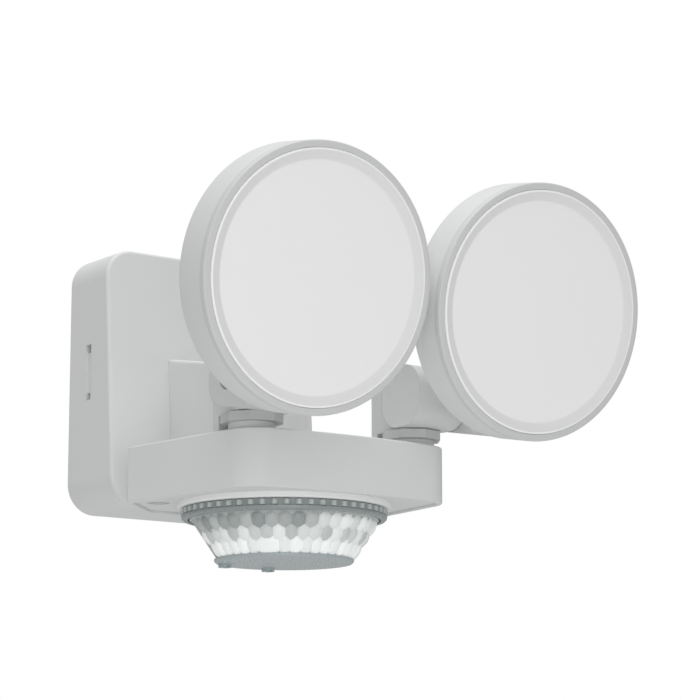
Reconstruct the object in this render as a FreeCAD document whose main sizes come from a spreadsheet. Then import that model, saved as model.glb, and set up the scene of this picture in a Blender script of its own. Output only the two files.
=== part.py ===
"""Twin-head wall security light with a downward motion sensor, in millimetres.

Frame: origin at the centre of the back plate's wall face, +Z up, the wall towards +Y,
the lamp heads towards -Y.  "left" is the side at -X.
Every size is a cell of the spreadsheet; sub-parts are tied to the cells by expressions.
"""
import FreeCAD, Part
import os
import re

import Sketcher

doc = FreeCAD.newDocument("security_light")
sheet = doc.addObject("Spreadsheet::Sheet", "sizes")

SIZES = [
    # canopy and what closes it against the wall
    ("canopy_width", 114.0, "overall width of the canopy"),
    ("canopy_height", 121.4, "overall height of the canopy"),
    ("canopy_depth_low", 40.5, "depth at the bottom edge"),
    ("canopy_depth_top", 31.5, "depth at the top edge"),
    ("canopy_corner", 14.0, "corner radius seen from the front"),
    ("canopy_wall", 2.8, "moulded wall"),
    ("edge_round", 1.6, "small rounding of moulded edges"),
    ("slot_height", 26.0, "release slot in the canopy's side"),
    ("slot_width", 4.4, "same, front to back"),
    ("slot_depth", 1.4, "same, depth of the recess"),
    ("slot_setback", 17.0, "same, centre from the wall"),
    ("slot_rise", 3.7, "same, centre above the middle"),
    ("window_height", 3.4, "window at each end of the slot"),
    ("plate_thickness", 2.0, "steel back plate"),
    ("gasket_width", 3.0, "foam seal round the back plate"),
    ("gasket_depth", 4.0, "same, front to back"),
    ("box_screw_spacing", 79.4, "between the middles of the two box screw slots"),
    ("box_screw_radius", 2.4, "half the width of those slots"),
    ("box_screw_slot", 14.3, "end-to-end length of those slots"),
    ("wire_entry_radius", 11.0, "hole for the supply wires"),
    ("wire_entry_drop", 24.0, "same, centre below the middle"),
    ("latch_height", 17.0, "spring latch on the back plate, seen from the side"),
    ("latch_thickness", 1.6, "same"),
    ("latch_foot", 7.0, "same, its foot on the plate"),
    # neck
    ("neck_width", 49.4, "block between canopy and platform"),
    ("neck_reach", 78.7, "front of the neck from the wall"),
    ("neck_top_rear", 11.7, "height of its top at the canopy"),
    ("neck_top_front", 2.7, "height of its top at the front"),
    ("neck_wall", 2.6, "moulded wall"),
    # platform, which is the sensor and wiring housing
    ("platform_top", 37.5, "top face below the origin"),
    ("platform_bottom", 62.7, "underside below the origin"),
    ("platform_rear_half", 40.0, "half width where it meets the canopy"),
    ("platform_wide_half", 63.0, "half width at its widest"),
    ("platform_front_half", 52.4, "half width at the front"),
    ("platform_tuck", 1.5, "how far it reaches into the canopy's outline"),
    ("platform_shoulder", 64.0, "widest place from the wall"),
    ("platform_reach", 151.4, "front of the platform from the wall"),
    ("platform_bow", 286.0, "radius of the bowed front"),
    ("platform_corner", 15.0, "front corner radius"),
    ("platform_wall", 2.6, "moulded wall"),
    ("cover_thickness", 2.6, "bottom cover"),
    ("cover_recess", 1.0, "how far it lies inside the platform's rim"),
    ("cover_gap", 0.12, "gap round the cover"),
    ("screw_half", 47.5, "cover screws from the middle plane"),
    ("screw_reach", 65.0, "cover screws from the wall"),
    ("screw_well_radius", 5.0, "well in the cover for a screw head"),
    ("screw_well_depth", 10.0, "same"),
    ("screw_radius", 1.9, "shank of the small screws"),
    ("screw_head_radius", 3.8, "head of the small screws"),
    ("screw_head_height", 2.4, "same"),
    ("boss_radius", 6.6, "moulded screw boss"),
    # motion sensor
    ("sensor_reach", 95.0, "sensor axis from the wall"),
    ("flange_radius", 48.0, "white flange on the underside"),
    ("flange_height", 2.6, "same"),
    ("ring_setback", 1.6, "twist ring from the flange's edge"),
    ("ring_height", 5.2, "same"),
    ("ring_wall", 3.2, "same"),
    ("lens_gap", 0.6, "between the ring and the faceted lens"),
    ("lens_low_radius", 31.2, "bottom of the faceted lens"),
    ("lens_height", 17.2, "height of its cone below the ring"),
    ("lens_wall", 1.2, "moulded lens wall"),
    ("cap_height", 1.6, "disc below the lens"),
    ("dial_radius", 2.9, "adjusting dials in that disc"),
    ("dial_proud", 1.6, "how far they stand out"),
    ("dial_length", 18.0, "from their face to their potentiometers"),
    ("dial_one_x", -20.0, "first dial, from the middle plane"),
    ("dial_one_y", -77.4, "same"),
    ("dial_two_x", 6.0, "second dial, from the middle plane"),
    ("dial_two_y", -73.5, "same"),
    ("running_gap", 0.05, "radial clearance of everything that turns"),
    ("sensor_board_gap", 0.2, "round sensor board inside the lens"),
    ("board_thickness", 1.6, "circuit boards"),
    ("detector_radius", 4.6, "pyroelectric detector can"),
    ("detector_height", 4.5, "same"),
    # swivels
    ("stem_margin", 5.4, "stem from the barrel's outer end"),
    ("swivel_reach", 132.4, "pan axis from the wall"),
    ("collar_radius", 10.2, "collar on the platform"),
    ("collar_height", 3.4, "same"),
    ("nut_across", 25.2, "eight-sided lock nut across its flats"),
    ("nut_corner_radius", 13.5, "turned corners of the lock nut"),
    ("nut_height", 4.1, "same"),
    ("nut_turn", 10.0, "how far the nut's corners are turned"),
    ("stem_radius", 8.0, "hollow stem"),
    ("stem_bore", 4.5, "wire way through it"),
    ("retainer_wall", 1.6, "ring that keeps the stem in"),
    ("retainer_height", 4.0, "same"),
    ("stem_tail", 4.35, "stem below its ring"),
    # knuckles
    ("knuckle_reach", 141.6, "tilt axis from the wall"),
    ("knuckle_gap", 0.35, "between the lock nut and the barrel"),
    ("barrel_inner", 30.0, "barrel end nearest the middle plane"),
    ("barrel_split", 56.4, "where the head's arm takes over from the barrel"),
    ("barrel_outer", 62.0, "outer face of the arm"),
    ("barrel_size", 27.5, "its rounded-square section"),
    ("barrel_corner", 11.0, "same, corner radius"),
    ("barrel_wall", 3.4, "same, wall"),
    ("upright_inner", 34.7, "rear upright, side nearest the middle plane"),
    ("upright_setback", 5.6, "same, other side from the barrel's end"),
    ("upright_gap", 0.5, "between its front face and the lock nut"),
    ("upright_thickness", 4.4, "same, front to back"),
    ("upright_rise", 5.6, "its top above the tilt axis"),
    ("upright_clearance", 1.2, "its foot above the platform"),
    ("washer_thickness", 0.4, "friction washer in the tilt joint"),
    ("washer_radius", 9.5, "same"),
    ("arm_height", 27.1, "head arm, across the head's axis"),
    ("foot_width", 29.0, "foot of the arm on the head"),
    ("foot_height", 25.0, "same, up and down"),
    ("foot_thickness", 4.0, "same"),
    ("bolt_radius", 3.0, "tilt bolt"),
    ("bolt_head_radius", 6.0, "same"),
    ("bolt_head_height", 2.4, "same"),
    ("bolt_nut_across", 10.0, "its nut across the flats"),
    ("bolt_nut_height", 3.6, "same"),
    ("seat_gap", 0.2, "round fasteners in their seats"),
    # lamp heads
    ("head_half", 58.6, "head axis from the middle plane at the rim"),
    ("head_reach", 205.0, "front rim centre from the wall"),
    ("head_height", 14.9, "front rim centre above the origin"),
    ("head_tilt", 10.5, "degrees below level as stored"),
    ("head_radius", 56.0, "outer radius"),
    ("head_depth", 21.0, "from rim to back"),
    ("head_wall", 2.4, "housing side wall"),
    ("head_back", 3.0, "housing back wall"),
    ("back_round", 3.5, "rounding of the housing's back edge"),
    ("bezel_depth", 3.0, "front ring that holds the lens"),
    ("bezel_width", 3.1, "same, from its edge to its opening"),
    ("rim_round", 0.7, "rounding of its outer edge"),
    ("cover_lens_gap", 0.15, "between lens and bezel"),
    ("cover_lens_bead", 4.55, "raised border of the diffuser"),
    ("cover_lens_proud", 0.4, "how far its edge stands out"),
    ("cover_lens_dish", 1.0, "how far its middle lies back"),
    ("cover_lens_wall", 2.0, "diffuser thickness"),
    ("seal_width", 3.0, "silicone seal behind the diffuser"),
    ("seal_depth", 1.6, "same"),
    ("lamp_board_margin", 7.6, "aluminium lamp board from the housing wall"),
    ("lamp_board_gap", 3.0, "heat spreader between housing and board"),
    ("chip_size", 3.0, "square light source"),
    ("chip_height", 0.8, "same"),
    # electronics in the platform and the canopy
    ("power_board_width", 76.0, "driver board in the platform"),
    ("power_board_depth", 46.0, "same"),
    ("power_board_drop", 53.3, "its underside below the origin"),
    ("leg_radius", 2.4, "legs on the cover that carry the driver board"),
    ("relay_width", 19.0, "relay"),
    ("relay_depth", 15.0, "same"),
    ("part_height", 10.0, "tallest parts on the driver board"),
    ("capacitor_radius", 4.8, "smoothing capacitor"),
    ("transformer_size", 20.0, "driver transformer"),
    ("terminal_width", 30.0, "terminal block in the canopy"),
    ("terminal_height", 12.0, "same"),
    ("terminal_depth", 14.0, "same"),
]
for row, (alias, number, note) in enumerate(SIZES, start=1):
    sheet.set(f"A{row}", note)
    sheet.set(f"B{row}", str(number))
    sheet.setAlias(f"B{row}", alias)
doc.recompute()

FUNCTIONS = ("sin", "cos", "sqrt", "tan")
NODES = []

# Sizes that follow from others.
COVER_LOW = "(cover_recess - platform_bottom)"
PLATFORM_REAR = "(canopy_depth_low - platform_tuck)"
RING_RADIUS = "(flange_radius - ring_setback)"
LENS_RADIUS = f"({RING_RADIUS} - ring_wall - lens_gap)"
NUT_TOP = "(collar_height + nut_height - platform_top)"
KNUCKLE_UNDER = f"({NUT_TOP} + knuckle_gap)"
KNUCKLE_HEIGHT = f"({KNUCKLE_UNDER} + barrel_size / 2)"
RETAINER_LOW = "-(platform_top + platform_wall + 4 * running_gap + retainer_height)"
UPRIGHT_FRONT = "(swivel_reach - nut_corner_radius - upright_gap)"
UPRIGHT_BACK = f"({UPRIGHT_FRONT} - upright_thickness)"
UPRIGHT_TOP = f"({KNUCKLE_HEIGHT} + upright_rise)"
UPRIGHT_FOOT = "(upright_clearance - platform_top)"
UPRIGHT_OUTER = "(barrel_split - upright_setback)"
SWIVEL_HALF = "(barrel_split - stem_radius - stem_margin)"
BEZEL_INNER = "(head_radius - bezel_width)"
DIFFUSER_EDGE = f"({BEZEL_INNER} - cover_lens_gap)"
LAMP_BOARD = "(head_radius - head_wall - lamp_board_margin)"


# ---------------------------------------------------------------- expressions and primitives

def tied(text):
    """The expression with each size name pointing at its cell."""
    def point(match):
        word = match.group(0)
        return word if word in FUNCTIONS else "sizes." + word
    return re.sub(r"[a-z][a-z_]*", point, str(text))


def number(text):
    """The present value of an expression."""
    return float(sheet.evalExpression(tied(text)))


def bind(item, name, text):
    item.setExpression(name, tied(text))


def at(item, place):
    for axis, text in zip("xyz", place):
        bind(item, "Placement.Base." + axis, text)
    return item


def node(item, label=None):
    """Marks a finished sub-part."""
    if label:
        item.Label = label
    NODES.append(item)
    return item


def box(name, low, span):
    item = doc.addObject("Part::Box", name)
    for side, text in zip(("Length", "Width", "Height"), span):
        bind(item, side, text)
    return at(item, low)


DIRECTIONS = {"x": ((0, 1, 0), 90), "y": ((1, 0, 0), -90), "z": ((0, 0, 1), 0)}


def rod(name, base, radius, length, along="z"):
    """A cylinder from base towards +X, +Y or +Z."""
    item = doc.addObject("Part::Cylinder", name)
    bind(item, "Radius", radius)
    bind(item, "Height", length)
    axis, angle = DIRECTIONS[along]
    item.Placement.Rotation = FreeCAD.Rotation(FreeCAD.Vector(*axis), angle)
    return at(item, base)


def span_x(sign, near, far):
    """Lowest X and width of a stretch given by distances from the middle plane."""
    return (f"({near})" if sign > 0 else f"-({far})", f"({far}) - ({near})")


def prism(name, base, across, height, turn="0", along="z", sides=6):
    """A regular prism given by its size across the flats."""
    item = doc.addObject("Part::Prism", name)
    item.Polygon = sides
    bind(item, "Circumradius", f"({across}) / 2 / cos({180 / sides})")
    bind(item, "Height", height)
    axis, angle = DIRECTIONS[along]
    spin = FreeCAD.Rotation(FreeCAD.Vector(0, 0, 1), number(turn))
    item.Placement.Rotation = FreeCAD.Rotation(FreeCAD.Vector(*axis), angle).multiply(spin)
    return at(item, base)


def fuse(name, *items):
    joined = doc.addObject("Part::MultiFuse", name)
    joined.Shapes = list(items)
    joined.Refine = True
    return joined


def cut(name, base, *tools):
    taken = tools[0] if len(tools) == 1 else fuse(name + "_cuts", *tools)
    result = doc.addObject("Part::Cut", name)
    result.Base = base
    result.Tool = taken
    return result


def common(name, first, second):
    result = doc.addObject("Part::Common", name)
    result.Base = first
    result.Tool = second
    return result


def rounded(name, base, radius, wanted):
    """Fillets the edges of base for which wanted(edge) is true."""
    doc.recompute()
    size = number(radius)
    picked = [
        (place, size, size)
        for place, edge in enumerate(base.Shape.Edges, start=1)
        if wanted(edge)
    ]
    item = doc.addObject("Part::Fillet", name)
    item.Base = base
    item.Edges = picked
    return item


def runs_along(axis):
    """True for straight edges parallel to an axis."""
    def wanted(edge):
        if not isinstance(edge.Curve, Part.Line):
            return False
        direction = edge.tangentAt(edge.FirstParameter)
        return abs(abs(getattr(direction, axis)) - 1) < 1e-6
    return wanted


def middle(edge):
    return edge.valueAt((edge.FirstParameter + edge.LastParameter) / 2)


# ---------------------------------------------------------------- sketched bodies

def outline(body, plane, points):
    """A closed polygon sketch whose corners are tied to the sheet."""
    sketch = body.newObject("Sketcher::SketchObject", body.Name + "_sketch")
    base = next(item for item in body.Origin.OriginFeatures if item.Role == plane)
    sketch.AttachmentSupport = [(base, "")]
    sketch.MapMode = "FlatFace"
    places = [FreeCAD.Vector(number(x), number(y), 0) for x, y in points]
    count = len(places)
    for index in range(count):
        following = (index + 1) % count
        sketch.addGeometry(Part.LineSegment(places[index], places[following]), False)
    for index in range(count):
        sketch.addConstraint(Sketcher.Constraint("Coincident", index, 2, (index + 1) % count, 1))
    for index, (x, y) in enumerate(points):
        for kind, text in (("DistanceX", x), ("DistanceY", y)):
            datum = sketch.addConstraint(
                Sketcher.Constraint(kind, -1, 1, index, 1, number(text)))
            sketch.setExpression(f"Constraints[{datum}]", tied(text))
    return sketch


def extruded(name, plane, points, length):
    """A prism centred on the plane of its outline."""
    body = doc.addObject("PartDesign::Body", name)
    sketch = outline(body, plane, points)
    pad = body.newObject("PartDesign::Pad", name + "_pad")
    pad.Profile = sketch
    pad.Midplane = True
    bind(pad, "Length", length)
    body.Tip = pad
    return body


def turned(name, points, place=("0", "0", "0"), tilt=None):
    """A solid of revolution about its own Z axis; points are radius and height."""
    body = doc.addObject("PartDesign::Body", name)
    sketch = outline(body, "XZ_Plane", points)
    spun = body.newObject("PartDesign::Revolution", name + "_turn")
    spun.Profile = sketch
    spun.ReferenceAxis = (sketch, ["V_Axis"])
    spun.Angle = 360
    body.Tip = spun
    if tilt:
        lean(body, tilt)
    return at(body, place)


def lean(item, text):
    """Turns an item about X, by an angle tied to the sheet."""
    item.Placement.Rotation = FreeCAD.Rotation(FreeCAD.Vector(1, 0, 0), number(text))
    bind(item, "Placement.Rotation.Angle", text)
    return item


# ---------------------------------------------------------------- canopy

def canopy_block(name, inset, back):
    """The canopy's leaning block, with its four long edges rounded."""
    half = f"(canopy_height / 2 - ({inset}))"
    block = extruded(name + "_block", "YZ_Plane", [
        (back, f"-{half}"),
        (f"-(canopy_depth_low - ({inset}))", f"-{half}"),
        (f"-(canopy_depth_top - ({inset}))", half),
        (back, half),
    ], f"canopy_width - 2 * ({inset})")
    return rounded(name, block, f"canopy_corner - ({inset})", runs_along("y"))


def on_canopy_front(edge):
    rise = number("canopy_height")
    slope = (number("canopy_depth_low") - number("canopy_depth_top")) / rise
    depth = number("canopy_depth_top") + (rise / 2 - middle(edge).z) * slope
    return abs(middle(edge).y + depth) < 1e-3


def make_canopy():
    corners = canopy_block("canopy_corners", "0", "0")
    outer = rounded("canopy_outer", corners, "edge_round", on_canopy_front)
    inner = canopy_block("canopy_inner", "canopy_wall", "edge_round")
    tools = [inner]
    for side, sign in (("left", -1), ("right", 1)):
        wall = f"{sign} * canopy_width / 2"
        tools.append(box(f"{side}_slot", (
            f"{wall} - slot_depth", "-(slot_setback + slot_width / 2)", "slot_rise - slot_height / 2",
        ), ("2 * slot_depth", "slot_width", "slot_height")))
        for end in (-1, 1):
            tools.append(box(f"{side}_window_{end + 1}", (
                f"{wall} - 1.5 * canopy_wall", "-(slot_setback + slot_width / 2)",
                f"slot_rise + {end} * (slot_height - window_height) / 2 - window_height / 2",
            ), ("3 * canopy_wall", "slot_width", "window_height")))
    tools.append(box("canopy_wire_way", (
        "-neck_width / 4", "-2 * canopy_depth_low", "-neck_width / 2"),
        ("neck_width / 2", "2 * canopy_depth_low - canopy_wall", "neck_width / 2")))
    node(cut("canopy_shell", outer, *tools))
    return outer


PLATE_INSET = "(canopy_wall + gasket_width)"


def flat_block(name, inset, low, depth):
    """A rounded slab parallel to the wall, from low towards the wall by depth."""
    half_x = f"(canopy_width / 2 - ({inset}))"
    half_z = f"(canopy_height / 2 - ({inset}))"
    slab = box(name + "_slab", (f"-{half_x}", low, f"-{half_z}"),
               (f"2 * {half_x}", depth, f"2 * {half_z}"))
    return rounded(name, slab, f"canopy_corner - ({inset})", runs_along("y"))


def make_back_plate():
    slab = flat_block("plate_blank", PLATE_INSET, "-plate_thickness", "plate_thickness")
    tools = [rod("wire_entry", ("0", "-2 * plate_thickness", "-wire_entry_drop"),
                 "wire_entry_radius", "3 * plate_thickness", "y")]
    for sign in (-1, 1):
        centre = f"{sign} * box_screw_spacing / 2"
        run = "(box_screw_slot / 2 - box_screw_radius)"
        tools.append(box(f"plate_slot_{sign + 1}", (
            f"{centre} - {run}", "-2 * plate_thickness", "-box_screw_radius"),
            (f"2 * {run}", "3 * plate_thickness", "2 * box_screw_radius")))
        for end in (-1, 1):
            tools.append(rod(f"plate_slot_end_{sign + 1}_{end + 1}", (
                f"{centre} + {end} * {run}", "-2 * plate_thickness", "0"),
                "box_screw_radius", "3 * plate_thickness", "y"))
    node(cut("back_plate", slab, *tools))


def make_latches():
    """Spring steel angles: a foot on the back plate and an arm that ends at the side slot."""
    for side, sign in (("left", -1), ("right", 1)):
        edge = f"(canopy_width / 2 - {PLATE_INSET})"
        low_z = "slot_rise - latch_height / 2"
        tip = "-(slot_setback + slot_width / 2)"
        arm_x, arm_wide = span_x(sign, f"{edge} - latch_thickness", edge)
        arm = box(side + "_latch_arm", (arm_x, tip, low_z),
                  (arm_wide, f"-plate_thickness - ({tip})", "latch_height"))
        foot_x, foot_wide = span_x(sign, f"{edge} - latch_foot", edge)
        foot = box(side + "_latch_foot", (foot_x, "-(plate_thickness + latch_thickness)", low_z),
                   (foot_wide, "latch_thickness", "latch_height"))
        node(fuse(side + "_latch", arm, foot))


def make_wall_gasket():
    outer = flat_block("gasket_outer", "canopy_wall", "-gasket_depth", "gasket_depth")
    inner = flat_block("gasket_inner", PLATE_INSET, "-2 * gasket_depth", "3 * gasket_depth")
    node(cut("wall_gasket", outer, inner))


def make_terminal_block():
    low = "-(plate_thickness + terminal_depth)"
    block = box("terminal_body", ("-terminal_width / 2", low, "terminal_height"),
                ("terminal_width", "terminal_depth", "terminal_height"))
    wells = [
        rod(f"terminal_well_{way}", (
            f"{way} * terminal_width / 3", low, "1.5 * terminal_height"),
            "terminal_height / 4", "terminal_depth / 2", "y")
        for way in (-1, 0, 1)
    ]
    node(cut("terminal_block", block, *wells))


# ---------------------------------------------------------------- neck

def neck_block(name, inset, bottom):
    rear = "-(canopy_depth_top - edge_round)"
    return extruded(name, "YZ_Plane", [
        (rear, bottom),
        (f"-(neck_reach - ({inset}))", bottom),
        (f"-(neck_reach - ({inset}))", f"neck_top_front - ({inset})"),
        (rear, f"neck_top_rear - ({inset})"),
    ], f"neck_width - 2 * ({inset})")


def make_neck(canopy_outer):
    block = neck_block("neck_blank", "0", "-platform_top")

    def shows(edge):
        spot = middle(edge)
        front = abs(spot.y + number("neck_reach")) < 1e-3
        return spot.z > number("-platform_top") + 1e-3 and (front or spot.z > 0)
    soft = rounded("neck_soft", block, "edge_round", shows)
    inner = neck_block("neck_hollow", "neck_wall", "-(platform_top + neck_wall)")
    node(cut("neck_housing", soft, inner, canopy_outer))


# ---------------------------------------------------------------- platform

def platform_block(name, inset, low, high):
    """The bowed platform outline between two heights, set in by inset."""
    inset = f"({inset})"
    depth = f"(platform_reach - {PLATFORM_REAR})"
    ends = [(sign, f"{sign} * (platform_rear_half - {inset})") for sign in (-1, 1)]
    front = f"-(platform_reach + {depth} / 8)"
    points = [(ends[0][1], f"-({PLATFORM_REAR} + {inset})")]
    points += [
        (f"-(platform_wide_half - {inset})", "-platform_shoulder"),
        (f"-(platform_front_half - {inset})", front),
        (f"platform_front_half - {inset}", front),
        (f"platform_wide_half - {inset}", "-platform_shoulder"),
        (ends[1][1], f"-({PLATFORM_REAR} + {inset})"),
    ]
    prism = extruded(name + "_prism", "XY_Plane", points, f"({high}) - ({low})")
    bind(prism, "Placement.Base.z", f"(({high}) + ({low})) / 2")
    bow = rod(name + "_bow", ("0", "platform_bow - platform_reach", low),
              f"platform_bow - {inset}", f"({high}) - ({low})")
    plan = common(name + "_plan", prism, bow)

    def front_corner(edge):
        return runs_along("z")(edge) and middle(edge).y < -number("platform_shoulder") - 1
    return rounded(name, plan, f"platform_corner - {inset}", front_corner)


def make_platform(canopy_outer):
    outer = platform_block("platform_outer", "0", "-platform_bottom", "-platform_top")

    def rim(edge):
        spot = middle(edge)
        level = abs(spot.z + number("platform_top")) < 1e-3
        return (level or abs(spot.z + number("platform_bottom")) < 1e-3) and \
            spot.y < -number(PLATFORM_REAR) - 1
    soft = rounded("platform_soft", outer, "edge_round / 2", rim)
    hollow = platform_block("platform_hollow", "platform_wall",
                            "-(platform_bottom + platform_wall)", "-(platform_top + platform_wall)")
    seat = f"({COVER_LOW} + screw_well_depth + platform_wall)"
    posts, pilots = [], []
    for sign in (-1, 1):
        spot = (f"{sign} * screw_half", "-screw_reach", seat)
        posts.append(rod(f"post_{sign + 1}", spot, "boss_radius",
                         f"-(platform_top + platform_wall / 2) - ({seat})"))
        pilots.append(rod(f"pilot_{sign + 1}", spot, "screw_radius", "screw_well_depth / 2"))
    shell = fuse("platform_with_posts", cut("platform_walls", soft, hollow), *posts)
    holes = [
        rod(f"stem_hole_{sign + 1}", (
            f"{sign} * {SWIVEL_HALF}", "-swivel_reach", "-(platform_top + 2 * platform_wall)"),
            "stem_radius + running_gap", "3 * platform_wall")
        for sign in (-1, 1)
    ]
    wire_way = box("platform_wire_way", (
        "-neck_width / 4", "-(neck_reach - 2 * neck_wall)", "-(platform_top + 2 * platform_wall)"),
        ("neck_width / 2", "(neck_reach - canopy_depth_low) / 2", "3 * platform_wall"))
    node(cut("platform_shell", shell, wire_way, canopy_outer, *pilots, *holes))


def make_bottom_cover():
    plate = platform_block("cover_plate", "platform_wall + cover_gap",
                           COVER_LOW, f"{COVER_LOW} + cover_thickness")
    wells, bores, bosses = [], [], []
    for sign in (-1, 1):
        spot = (f"{sign} * screw_half", "-screw_reach", COVER_LOW)
        bosses.append(rod(f"well_{sign + 1}", spot, "boss_radius",
                          "screw_well_depth + platform_wall"))
        wells.append(rod(f"well_hole_{sign + 1}", spot, "screw_well_radius", "screw_well_depth"))
        bores.append(rod(f"well_bore_{sign + 1}", spot, "screw_radius",
                         "screw_well_depth + 2 * platform_wall"))
    opening = rod("sensor_opening", ("0", "-sensor_reach", "-2 * platform_bottom"),
                  "lens_low_radius", "2 * platform_bottom")
    floor = f"({COVER_LOW} + cover_thickness / 2)"
    legs = [
        rod(f"board_leg_{across + 1}_{along + 1}", (
            f"{across} * (power_board_width / 2 - 2 * leg_radius)",
            f"-sensor_reach + {along} * (power_board_depth / 2 - 2 * leg_radius)", floor),
            "leg_radius", f"-power_board_drop - ({floor})")
        for across in (-1, 1) for along in (-1, 1)
    ]
    solid = fuse("cover_with_wells", plate, *bosses, *legs)
    node(cut("bottom_cover", solid, opening, *wells, *bores))


def make_cover_screws():
    parts = []
    for sign in (-1, 1):
        spot = (f"{sign} * screw_half", "-screw_reach")
        floor = f"({COVER_LOW} + screw_well_depth)"
        head = rod(f"cover_screw_head_{sign + 1}", (*spot, f"{floor} - screw_head_height"),
                   "screw_head_radius", "screw_head_height")
        shank = rod(f"cover_screw_shank_{sign + 1}", (*spot, floor), "screw_radius",
                    "platform_wall + screw_well_depth / 2")
        drive = prism(f"cover_screw_drive_{sign + 1}", (*spot, f"{floor} - screw_head_height"),
                        "screw_head_radius", "screw_head_height / 2")
        parts.append(cut(f"cover_screw_{sign + 1}",
                         fuse(f"cover_screw_blank_{sign + 1}", head, shank), drive))
    node(fuse("cover_screws", *parts))


# ---------------------------------------------------------------- motion sensor

SENSOR = ("0", "-sensor_reach", "0")
FLANGE_LOW = f"({COVER_LOW} - flange_height)"
RING_LOW = f"({FLANGE_LOW} - ring_height)"
CAP_TOP = f"({RING_LOW} - lens_height)"
CAP_LOW = f"({CAP_TOP} - cap_height)"
DIALS = (("range_dial", "dial_one_x", "dial_one_y"), ("time_dial", "dial_two_x", "dial_two_y"))


def make_sensor_shells():
    node(turned("sensor_flange", [
        (f"{LENS_RADIUS} - 2 * ring_wall", COVER_LOW),
        ("flange_radius", COVER_LOW),
        ("flange_radius", f"{FLANGE_LOW} + flange_height / 3"),
        ("flange_radius - flange_height / 3", FLANGE_LOW),
        (f"{LENS_RADIUS} - 2 * ring_wall", FLANGE_LOW),
    ], SENSOR))
    node(turned("sensor_ring", [
        (f"{RING_RADIUS} - ring_wall", RING_LOW),
        (RING_RADIUS, RING_LOW),
        (RING_RADIUS, FLANGE_LOW),
        (f"{RING_RADIUS} - ring_wall", FLANGE_LOW),
    ], SENSOR))
    lip = f"{LENS_RADIUS} - lens_wall"
    node(turned("sensor_lens", [
        (lip, FLANGE_LOW),
        (LENS_RADIUS, FLANGE_LOW),
        (LENS_RADIUS, RING_LOW),
        ("lens_low_radius", CAP_TOP),
        ("lens_low_radius - lens_wall", CAP_TOP),
        (lip, f"{RING_LOW} + lens_wall"),
    ], SENSOR))


def make_sensor_cap():
    disc = turned("cap_disc", [
        ("0", CAP_LOW),
        ("lens_low_radius - cap_height / 2", CAP_LOW),
        ("lens_low_radius", f"{CAP_LOW} + cap_height / 2"),
        ("lens_low_radius", CAP_TOP),
        ("0", CAP_TOP),
    ], SENSOR)
    holes = [rod(name + "_hole", (x, y, f"{CAP_LOW} - cap_height"),
                 "dial_radius + running_gap", "3 * cap_height") for name, x, y in DIALS]
    node(cut("sensor_cap", disc, *holes))


def make_dials():
    for name, x, y in DIALS:
        low = f"({CAP_LOW} - dial_proud)"
        knob = rod(name + "_knob", (x, y, low), "dial_radius", "dial_proud + 2 * cap_height")
        shaft = rod(name + "_shaft", (x, y, low), "dial_radius / 2", "dial_length")
        groove = box(name + "_groove", (
            f"{x} - dial_radius / 5", f"{y} - dial_radius", f"{low} - dial_proud / 2"),
            ("2 * dial_radius / 5", "2 * dial_radius", "dial_proud"))
        node(cut(name, fuse(name + "_blank", knob, shaft), groove))


def make_sensor_electronics():
    under_board = f"({FLANGE_LOW} - board_thickness)"
    shaft_end = f"({CAP_LOW} - dial_proud + dial_length)"
    node(at(rod("sensor_board", SENSOR, f"{LENS_RADIUS} - lens_wall - sensor_board_gap",
                "board_thickness"),
            ("0", "-sensor_reach", under_board)))
    cans = [box(name + "_pot", (f"{x} - dial_radius", f"{y} - dial_radius", shaft_end),
                ("2 * dial_radius", "2 * dial_radius", f"{under_board} - {shaft_end}"))
            for name, x, y in DIALS]
    node(fuse("dial_potentiometers", *cans))
    node(rod("motion_detector", ("0", "-sensor_reach - 2 * detector_radius",
                                 f"{under_board} - detector_height"),
             "detector_radius", "detector_height"))


def make_power_electronics():
    top = "(-power_board_drop + board_thickness)"
    back = "-(sensor_reach + power_board_depth / 2)"
    node(box("driver_board", ("-power_board_width / 2", back, "-power_board_drop"),
             ("power_board_width", "power_board_depth", "board_thickness")))
    node(box("relay", ("-power_board_width / 2 + relay_depth / 3",
                       "-sensor_reach - relay_depth / 2", top),
             ("relay_width", "relay_depth", "part_height")))
    node(box("driver_transformer", ("-transformer_size / 4", "-sensor_reach - transformer_size / 2",
                                    top), ("transformer_size", "transformer_size", "part_height")))
    node(rod("smoothing_capacitor", ("power_board_width / 2 - 2 * capacitor_radius",
                                     "-sensor_reach", top), "capacitor_radius", "part_height"))


# ---------------------------------------------------------------- swivels and knuckles

NUT_SIDES = 8


def make_swivel(side, sign):
    axis = (f"{sign} * {SWIVEL_HALF}", "-swivel_reach")
    ring = rod(side + "_collar_ring", (*axis, "-platform_top"), "collar_radius", "collar_height")
    node(cut(side + "_collar", ring, rod(side + "_collar_bore", (*axis, "-platform_top"),
                                         "stem_radius + running_gap", "collar_height")))
    nut_low = "(collar_height - platform_top)"
    blank = common(side + "_nut_blank",
                   prism(side + "_nut_flats", (*axis, nut_low), "nut_across", "nut_height",
                         f"{-sign} * nut_turn", sides=NUT_SIDES),
                   rod(side + "_nut_round", (*axis, nut_low), "nut_corner_radius", "nut_height"))
    node(cut(side + "_lock_nut", blank, rod(side + "_nut_bore", (*axis, nut_low),
                                            "stem_radius + running_gap", "nut_height")))
    keeper = rod(side + "_keeper", (*axis, RETAINER_LOW), "stem_radius + retainer_wall",
                 "retainer_height")
    node(cut(side + "_stem_retainer", keeper, rod(side + "_keeper_bore", (*axis, RETAINER_LOW),
                                                  "stem_radius", "retainer_height")))


def barrel_block(name, sign, inset, near, far):
    low_x, wide = span_x(sign, near, far)
    size = f"(barrel_size - 2 * ({inset}))"
    block = box(name + "_block", (low_x, f"-knuckle_reach - {size} / 2",
                                  f"{KNUCKLE_HEIGHT} - {size} / 2"), (wide, size, size))
    return rounded(name, block, f"barrel_corner - ({inset})", runs_along("x"))


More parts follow.
